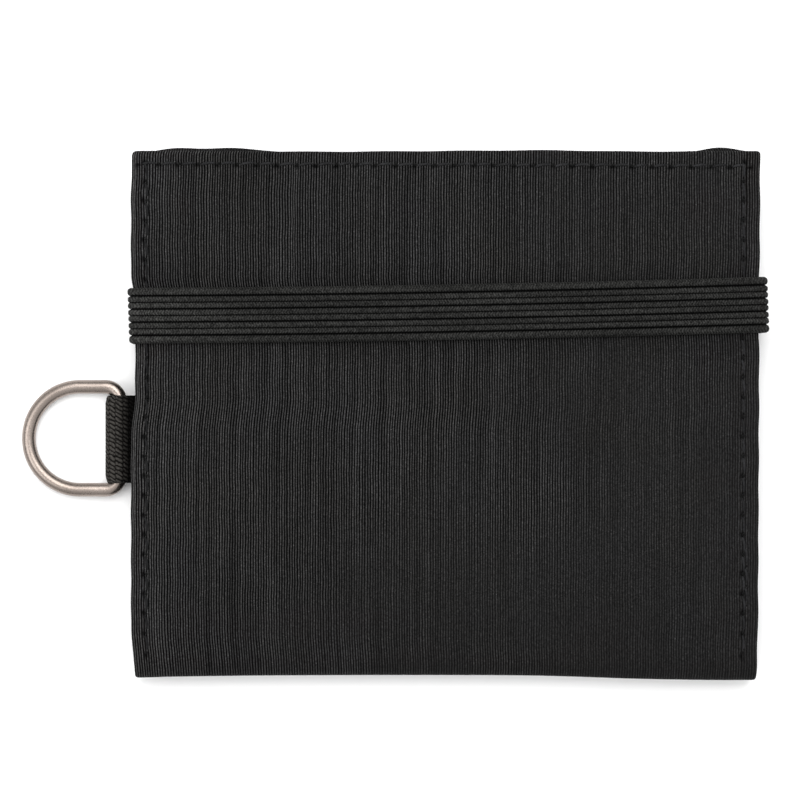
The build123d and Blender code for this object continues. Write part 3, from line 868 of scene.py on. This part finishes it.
class WalletSewing(bpy.types.PropertyGroup):
    """Sizes of the stitches."""

    pitch: bpy.props.FloatProperty(
        name="Stitch pitch",
        description="Distance between needle holes",
        unit="LENGTH",
        default=STITCH_PITCH * MM,
    )
    length: bpy.props.FloatProperty(
        name="Stitch length", description="Length of thread that shows", unit="LENGTH", default=3.05 * MM
    )
    radius: bpy.props.FloatProperty(
        name="Thread radius", description="Half the thread's thickness", unit="LENGTH", default=0.24 * MM
    )
    tilt: bpy.props.FloatProperty(
        name="Tilt",
        description="How far each stitch leans off its row",
        subtype="ANGLE",
        default=math.radians(5),
    )


class WalletStage(bpy.types.PropertyGroup):
    """The light and the camera."""

    camera_height: bpy.props.FloatProperty(
        name="Camera height", description="Height above the table", unit="LENGTH", default=0.7
    )
    view_width: bpy.props.FloatProperty(
        name="View width", description="Width of the view at the D-ring", unit="LENGTH", default=0.1419
    )
    light: bpy.props.FloatProperty(
        name="Light", description="Power of the overhead light in watts", default=12.0
    )


# ---- Operators ------------------------------------------------------------------------------------
class WALLET_OT_covers(bpy.types.Operator):
    """Outer cloth of both halves, joined round the fold"""

    bl_idname = "wallet.covers"
    bl_label = "Covers"

    def execute(self, context):
        material = get_material("corded nylon faille")
        for body, nodes in (("back", ("shell_back",)), ("front", ("shell_front", "shell_fold"))):
            name, front = "cover_" + body, body == "front"
            obj = cloth_half(name, material, front, 0.0, TOP_EDGE, 0.0, HEM_DEPTH / 2, hem=CLOTH)
            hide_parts(*nodes)
            bend_round_fold(obj, front)
        return {"FINISHED"}


def bend_round_fold(obj, front):
    """Bakes the cloth's transform into its mesh, the same way for either half."""
    if front:
        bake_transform(obj)
    else:
        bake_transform(obj)


class WALLET_OT_linings(bpy.types.Operator):
    """Lining of both halves, joined round the fold"""

    bl_idname = "wallet.linings"
    bl_label = "Linings"

    def execute(self, context):
        material = get_material("nylon taffeta")
        depth, inset = HEM_DEPTH + 0.01, 1.5
        for body, nodes in (("back", ("lining_back",)), ("front", ("lining_front", "lining_fold"))):
            name, front = "inner_lining_" + body, body == "front"
            obj = cloth_half(name, material, front, depth, TOP_EDGE - inset, inset, LINING / 2, columns=60)
            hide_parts(*nodes)
            bend_round_fold(obj, front)
        return {"FINISHED"}


class WALLET_OT_inner_layers(bpy.types.Operator):
    """Note pocket walls, coin pocket, card slots, seam tapes and bindings"""

    bl_idname = "wallet.inner_layers"
    bl_label = "Inner layers"

    def execute(self, context):
        cloths = {
            "note_pocket_wall": ("oxford nylon", "lining_cloth"),
            "note_seam_tape": ("grosgrain tape", "lining_cloth"),
            "mouth_binding": ("grosgrain tape", "binding_tape"),
            "coin_pocket_gusset": ("nylon taffeta", "lining_cloth"),
            "coin_pocket_face": ("oxford nylon", "inner_nylon"),
            "coin_pocket_top": ("oxford nylon", "inner_nylon"),
            "card_slot_seam": ("grosgrain tape", "lining_cloth"),
            "card_slot": ("nylon taffeta", "lining_cloth"),
            "zip_tape": ("zip tape", "zip_tape"),
        }
        for node, source in frame["nodes"].items():
            found = next((c for start, c in cloths.items() if node.startswith(start)), None)
            if found is None:
                continue
            obj = soft_copy(node, get_material(found[0]), source["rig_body"] == "front")
        for node in ("stiffener_back", "stiffener_front"):
            board = frame["nodes"][node]
            board.data.materials.clear()
            board.data.materials.append(get_material("polypropylene board"))
        return {"FINISHED"}


class WALLET_OT_zip(bpy.types.Operator):
    """Zip coils, end stops, slider and pull"""

    bl_idname = "wallet.zip"
    bl_label = "Zip"

    def execute(self, context):
        for side, node in ((-1, "zip_coil_lower"), (1, "zip_coil_upper")):
            low, high = (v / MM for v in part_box(node))
            y, z = (low.y + high.y) / 2, (low.z + high.z) / 2
            line = [(low.x + 0.6, y, z), (high.x - 0.6, y, z)]
            piece = coil_shape(side, high.y - low.y, high.z - low.z, 0.22)
            coil = get_material("nylon monofilament")
            obj = build_rows(node + "_turns", [line], piece, 1.05, 0.0, 0.0, 1, coil)
            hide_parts(node)
            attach(obj, "back")
        for node in ("zip_end_stops", "slider_body", "pull_pin", "pull_tab"):
            source = frame["nodes"][node]
            mesh = source.data.copy()
            mesh.materials.clear()
            close_mesh(mesh, 30)
            obj = new_object(node + "_metal", mesh)
            mesh.materials.append(get_material("plated zinc"))
            if node != "pull_pin":
                bevel = obj.modifiers.new("Softened edges", "BEVEL")
                bevel.width, bevel.segments, bevel.limit_method = 0.1 * MM, 2, "ANGLE"
                bevel.angle_limit = math.radians(40)
                graph = context.evaluated_depsgraph_get()
                finished = bpy.data.meshes.new_from_object(obj.evaluated_get(graph))
                obj.modifiers.remove(bevel)
                obj.data = finished
            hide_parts(node)
            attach(obj, source["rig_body"])
        return {"FINISHED"}


class WALLET_OT_band(bpy.types.Operator):
    """Elastic band, eight cords wide, round the closed wallet"""

    bl_idname = "wallet.band"
    bl_label = "Elastic band"

    def execute(self, context):
        thick, left, right = 1.15, -55.18, 56.42
        foot, level, corner, side_low = 1.2, 1.06, 1.5, 2.6
        lift = 0.12 + thick / 2
        tops = [on_front(x, band_centre(x), lift)[2] for x in (-54, 54.4)]
        run = [(-47.5, 1.05), (-50.0, 1.05), (-52.5, 1.04), (-54.0, level)]
        run += arc(left + foot, level + foot, foot, -math.pi / 2, math.pi / 2, 7)
        for z in np.linspace(side_low, tops[0] - corner - 0.1, 26):
            run.append((left - 0.08 * math.sin((z - side_low) / 7 * math.pi), z))
        run += arc(left + corner, tops[0] - corner, corner, math.pi, math.pi / 2, 10)[:-1]
        for x in np.linspace(left + corner, right - corner, 150):
            inside = np.clip(x, -54, 54.4)
            run.append((x, on_front(inside, band_centre(inside), lift)[2]))
        run += arc(right - corner, tops[1] - corner, corner, math.pi / 2, math.pi / 2, 10)[:-1]
        for z in np.linspace(tops[1] - corner - 0.1, side_low, 26):
            run.append((right + 0.05 * math.sin((z - side_low) / 7 * math.pi), z))
        run += arc(right - foot, level + foot, foot, 0.0, math.pi / 2, 7)
        run += [(54.4, level), (52.5, 1.04), (50.0, 1.05), (47.5, 1.05)]
        run = np.array(run)
        path = np.c_[run[:, 0], band_centre(run[:, 0]), run[:, 1]]
        tangent = unit_tangents(run)
        normals = np.c_[-tangent[:, 1], np.zeros(len(run)), tangent[:, 0]]
        widths = np.array([1.5, 1.2, 1.2, 1.2, 1.2, 1.2, 1.2, 1.5])
        widths *= BAND_WIDTH / widths.sum()
        deepest = 0.5
        grooves = [deepest, 0.5, 0.3, 0.5, 0.3, 0.5, 0.3, 0.5, deepest]
        start, upper, marks, cords = -BAND_WIDTH / 2, [], [], len(widths)
        for i, w in enumerate(widths):
            # The last point of a cord is the first one of the next.
            for k in range(7 if i == cords - 1 else 6):
                t = k / 6
                dip = grooves[i if t < 0.5 else i + 1] * (1 - math.sqrt(max(0, 1 - (2 * t - 1) ** 2)))
                upper.append((start + w * t, thick / 2 - dip))
                marks.append(dip / deepest if 0 < i + t < cords else 0.0)
            start += w
        lower = [(a, -thick / 2 + (thick / 2 - b) * 0.6) for a, b in reversed(upper)]
        profile, marks = np.array(upper + lower)[::-1], (marks + marks[::-1])[::-1]
        flatter = 1 - 0.3 * ease((2.4 - run[:, 1]) / 1.2)
        elastic = get_material("braided elastic")
        obj = sweep("elastic_loop", path, normals, profile, elastic, flatter, marks)
        # Above a height of about 4.4 to 6 mm each side leans in towards the opening edge, and below it the
        # side is tucked in.
        for vertex in obj.data.vertices:
            x, y, z = vertex.co / MM
            off = y - band_centre(x)
            lean, tuck = (0.035 * (4.9 - off), 0.28) if x < 0 else (-0.035 * (4.9 + off), -0.28)
            upper = float(ease((z - 4.4) / 1.6))
            vertex.co.x += (lean * upper + tuck * (1 - upper)) * MM * float(ease((abs(x) - 51) / 4))
        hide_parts("elastic_band", "band_end_left", "band_end_right")
        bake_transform(obj)
        return {"FINISHED"}


class WALLET_OT_ring(bpy.types.Operator):
    """D-ring and the webbing tab that holds it"""

    bl_idname = "wallet.ring"
    bl_label = "D-ring and tab"

    def execute(self, context):
        bar_x, bar_y, bar_z = RING_PIVOT
        droop, wire, half, corner, arm = math.radians(4.6), 1.23, 9.13, 2.6, 7.24
        flat = [(0.0, t * (half - corner)) for t in np.linspace(-1, 1, 14)]
        flat += arc(corner, half - corner, corner, math.pi, math.pi / 2, 9)
        flat += [(corner + (arm - corner) * t, half) for t in np.linspace(0, 1, 10)[1:]]
        flat += arc(arm, 0.0, half, math.pi / 2, math.pi, 56)
        flat += [(arm - (arm - corner) * t, -half) for t in np.linspace(0, 1, 10)[1:]]
        flat += arc(corner, corner - half, corner, -math.pi / 2, math.pi / 2, 9)[:-1]
        flat = np.array(flat)
        tangent = unit_tangents(flat, closed=True)
        out = np.c_[tangent[:, 1], -tangent[:, 0]]
        points, sides = [], 24
        for (a, b), (na, nb) in zip(flat, out):
            for k in range(sides):
                turn = 2 * math.pi * k / sides
                along, up = a + wire * math.cos(turn) * na, wire * math.sin(turn)
                x = bar_x - along * math.cos(droop) - up * math.sin(droop)
                z = bar_z - along * math.sin(droop) + up * math.cos(droop)
                points.append((x, bar_y + b + wire * math.cos(turn) * nb, z))
        faces = tube_faces(len(flat), sides, closed=True)
        metal = get_material("satin nickel steel")
        ring = make_object("ring_wire", points, faces, material=metal, sharp=180)
        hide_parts("d_ring")
        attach(ring, "ring")

        bend = 2.05
        loop = [(-50.9, 3.18), (-52.4, 3.18), (-53.9, 3.2), (-54.9, 3.34), (-55.7, 3.75)]
        for a in np.linspace(0.45, -3.59, 24):
            loop.append((bar_x + bend * math.sin(a), bar_z + bend * math.cos(a)))
        loop += [(-55.7, 1.45), (-54.9, 1.86), (-53.9, 2.0), (-52.4, 2.02), (-50.9, 2.02)]
        loop = np.array(loop)
        for _ in range(2):
            middle = (loop[:-2] + 2 * loop[1:-1] + loop[2:]) / 4
            loop = np.vstack([loop[:1], middle, loop[-1:]])
        tangent = unit_tangents(loop)
        normals = np.c_[tangent[:, 1], np.zeros(len(loop)), -tangent[:, 0]]
        path = np.c_[loop[:, 0], np.full(len(loop), bar_y - 0.15), loop[:, 1]]
        width, thick, edge = 15.5, 1.15, []
        for a in np.linspace(-math.pi / 2, math.pi / 2, 7):
            edge.append((width / 2 - 0.3 + 0.3 * math.cos(a), 0.3 * math.sin(a)))
        flat_top = []
        for w in np.linspace(width / 2 - 0.5, 0.5 - width / 2, 16):
            inside = ease((width / 2 - abs(w)) / 1.2)
            flat_top.append((w, 0.3 + (thick / 2 - 0.3) * inside))
        profile = edge + flat_top + [(-a, -b) for a, b in edge] + [(-a, -b) for a, b in flat_top]
        tab = sweep("webbing_tab", path, normals, np.array(profile), get_material("thick webbing"))
        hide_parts("ring_tab")
        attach(tab, "back")
        return {"FINISHED"}


def cover_rows(place):
    """Lines of the topstitching on one cover, in whole stitches; place gives a point on the cloth."""
    side_end = ROW_TOP - 24 * STITCH_PITCH
    top_end = 15 * STITCH_PITCH
    ys, xs = np.linspace(ROW_TOP, side_end, 60), np.linspace(-top_end, top_end, 70)
    tack = np.linspace(ROW_TOP - 19.6 * STITCH_PITCH, ROW_TOP - 21.6 * STITCH_PITCH, 8)
    return [
        [place(-SEAM_X + 0.05 * math.sin(0.4 * y), y) for y in ys],
        [place(SEAM_X + 0.05 * math.sin(0.5 * y), y) for y in ys],
        [place(x, seam_top(x) + 0.05 * math.sin(0.3 * x)) for x in xs],
        [place(SEAM_X + 0.5, y) for y in tack],
    ]


def edge_rows(node, sides, inset=1.5):
    """Lines of stitches just inside the chosen sides of a flat piece, on its inner face."""
    low, high = (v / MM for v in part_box(node))
    back = frame["nodes"][node]["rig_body"] == "back"
    z = high.z if back else low.z
    x0, x1, y0, y1 = low.x + inset, high.x - inset, low.y + inset, high.y - inset
    ends = {
        "left": ((x0, y0), (x0, y1)),
        "right": ((x1, y0), (x1, y1)),
        "bottom": ((x0, y0), (x1, y0)),
        "top": ((x0, y1), (x1, y1)),
    }
    lines = []
    for side in sides:
        (xa, ya), (xb, yb) = ends[side]
        line = []
        for t in np.linspace(0, 1, 40):
            x, y = xa + (xb - xa) * t, ya + (yb - ya) * t
            line.append((x, y, z if back else z + on_front(x, y)[2] - THICKNESS))
        lines.append(line)
    return lines


class WALLET_OT_stitches(bpy.types.Operator):
    """Topstitching along the top and both sides of each cover, and the seams of the inner pieces"""

    bl_idname = "wallet.stitches"
    bl_label = "Stitches"

    def execute(self, context):
        sewing = context.scene.wallet_sewing
        pitch, length, radius = (v / MM for v in (sewing.pitch, sewing.length, sewing.radius))
        thread, hole = get_material("polyester thread"), get_material("needle hole")
        covers = (
            ("front", 1, cover_rows(lambda x, y: on_front(x, y, 0.1))),
            ("back", -1, cover_rows(lambda x, y: (float(x), float(y), 0.24))),
        )
        for body, facing, rows in covers:
            # Dark dimples of painted shade at the needle holes.
            piece = hole_shape(pitch, facing)
            holes = build_rows("needle_holes_" + body, rows, piece, pitch, 0.0, 0.0, 3, hole)
            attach(holes, body)
            piece = stitch_shape(length, radius, facing)
            obj = build_rows("topstitching_" + body, rows, piece, pitch, sewing.tilt, 0.05, 3, thread)
            if body == "front":
                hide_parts("edge_thread")
            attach(obj, body)
        back_rows = edge_rows("coin_pocket_face", ("left", "right", "bottom", "top"))
        back_rows += edge_rows("coin_pocket_top_strip", ("left", "right", "bottom", "top"))
        back_rows += edge_rows("mouth_binding_back", ("left",), 0.8)
        front_rows = edge_rows("card_slot_seam_tape", ("left", "right", "bottom"))
        front_rows += edge_rows("mouth_binding_front", ("left",), 0.8)
        for name in ("rear", "middle", "near"):
            front_rows += edge_rows("card_slot_" + name, ("top",), 1.2)
        shorter, thinner = 0.85, 0.7
        for body, facing, rows in (("back", 1, back_rows), ("front", -1, front_rows)):
            piece = stitch_shape(length * shorter, radius * thinner, facing)
            obj = build_rows("seams_inside_" + body, rows, piece, pitch * shorter, 0.0, 0.04, 5, thread)
            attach(obj, body)
        return {"FINISHED"}


class WALLET_OT_stage(bpy.types.Operator):
    """Table, studio light and camera"""

    bl_idname = "wallet.stage"
    bl_label = "Stage"

    def execute(self, context):
        scene, stage = context.scene, context.scene.wallet_stage
        tree = new_material("matt white table")
        place = add(tree, "ShaderNodeTexCoord", out="Object")
        fine = add(tree, NOISE, place, inputs={"Scale": 300.0})
        finish_material(tree, fine, "#fbfbfb", "#ffffff", 0.9)
        half, below = 3000, -0.05
        points = [(x * half, y * half, below) for x, y in ((-1, -1), (1, -1), (1, 1), (-1, 1))]
        paint = bpy.data.materials["matt white table"]
        floor = make_object("table", points, [(0, 1, 2, 3)], material=paint)

        world = bpy.data.worlds.new("soft white room")
        world.use_nodes = True
        tree = world.node_tree
        direction = add(tree, "ShaderNodeTexCoord", out="Generated")
        height = add(tree, "ShaderNodeSeparateXYZ", direction, out=2)
        strength = add(tree, RANGE, height, 0.0, 1.0, 0.5, 1.2)
        tree.links.new(strength, tree.nodes["Background"].inputs["Strength"])
        tree.nodes["Background"].inputs["Color"].default_value = (1, 1, 1, 1)
        scene.world = world
        lamps = (
            ("overhead", (0.05, 0.55, 1.1), 0.9, stage.light),
            ("fill", (-0.7, -0.1, 0.8), 0.6, stage.light * 0.25),
        )
        for name, place, width, power in lamps:
            data = bpy.data.lights.new(name, "AREA")
            data.shape, data.size, data.energy = "SQUARE", width, power
            lamp = bpy.data.objects.new(name, data)
            lamp.location = place
            direction = -lamp.location.normalized()
            lamp.rotation_euler = direction.to_track_quat("-Z", "Y").to_euler()
            scene.collection.objects.link(lamp)

        middle, ring_height = (-7.87, 2.19), 2.5
        data = bpy.data.cameras.new("camera")
        data.sensor_width = 36.0
        data.lens = data.sensor_width * (stage.camera_height - ring_height * MM) / stage.view_width
        data.clip_start, data.clip_end = 0.05, 10.0
        camera = bpy.data.objects.new("camera", data)
        camera.location = (middle[0] * MM, middle[1] * MM, stage.camera_height)
        scene.collection.objects.link(camera)
        scene.camera = camera
        scene.view_settings.view_transform = "Standard"
        return {"FINISHED"}


STEPS = (
    WALLET_OT_covers,
    WALLET_OT_linings,
    WALLET_OT_inner_layers,
    WALLET_OT_zip,
    WALLET_OT_band,
    WALLET_OT_ring,
    WALLET_OT_stitches,
    WALLET_OT_stage,
)


class WALLET_PT_panel(bpy.types.Panel):
    """Lists the steps that build the wallet"""

    bl_idname = "WALLET_PT_panel"
    bl_label = "Folding Wallet"
    bl_space_type = "VIEW_3D"
    bl_region_type = "UI"
    bl_category = "Wallet"

    def draw(self, context):
        for group in ("wallet_finish", "wallet_sewing", "wallet_stage"):
            settings = getattr(context.scene, group)
            for key in settings.bl_rna.properties.keys():
                if key not in ("rna_type", "name"):
                    self.layout.prop(settings, key)
        for step in STEPS:
            self.layout.operator(step.bl_idname)


CLASSES = (WalletFinish, WalletSewing, WalletStage, *STEPS, WALLET_PT_panel)


def register():
    """Adds the classes and their settings."""
    for item in CLASSES:
        bpy.utils.register_class(item)
    bpy.types.Scene.wallet_finish = bpy.props.PointerProperty(type=WalletFinish)
    bpy.types.Scene.wallet_sewing = bpy.props.PointerProperty(type=WalletSewing)
    bpy.types.Scene.wallet_stage = bpy.props.PointerProperty(type=WalletStage)


def unregister():
    """Takes away what register added."""
    for name in ("wallet_stage", "wallet_sewing", "wallet_finish"):
        delattr(bpy.types.Scene, name)
    for item in reversed(CLASSES):
        bpy.utils.unregister_class(item)


def main():
    """Builds every piece in order."""
    register()
    for step in STEPS:
        area, name = step.bl_idname.split(".")
        getattr(getattr(bpy.ops, area), name)()


if __name__ == "__main__":
    main()
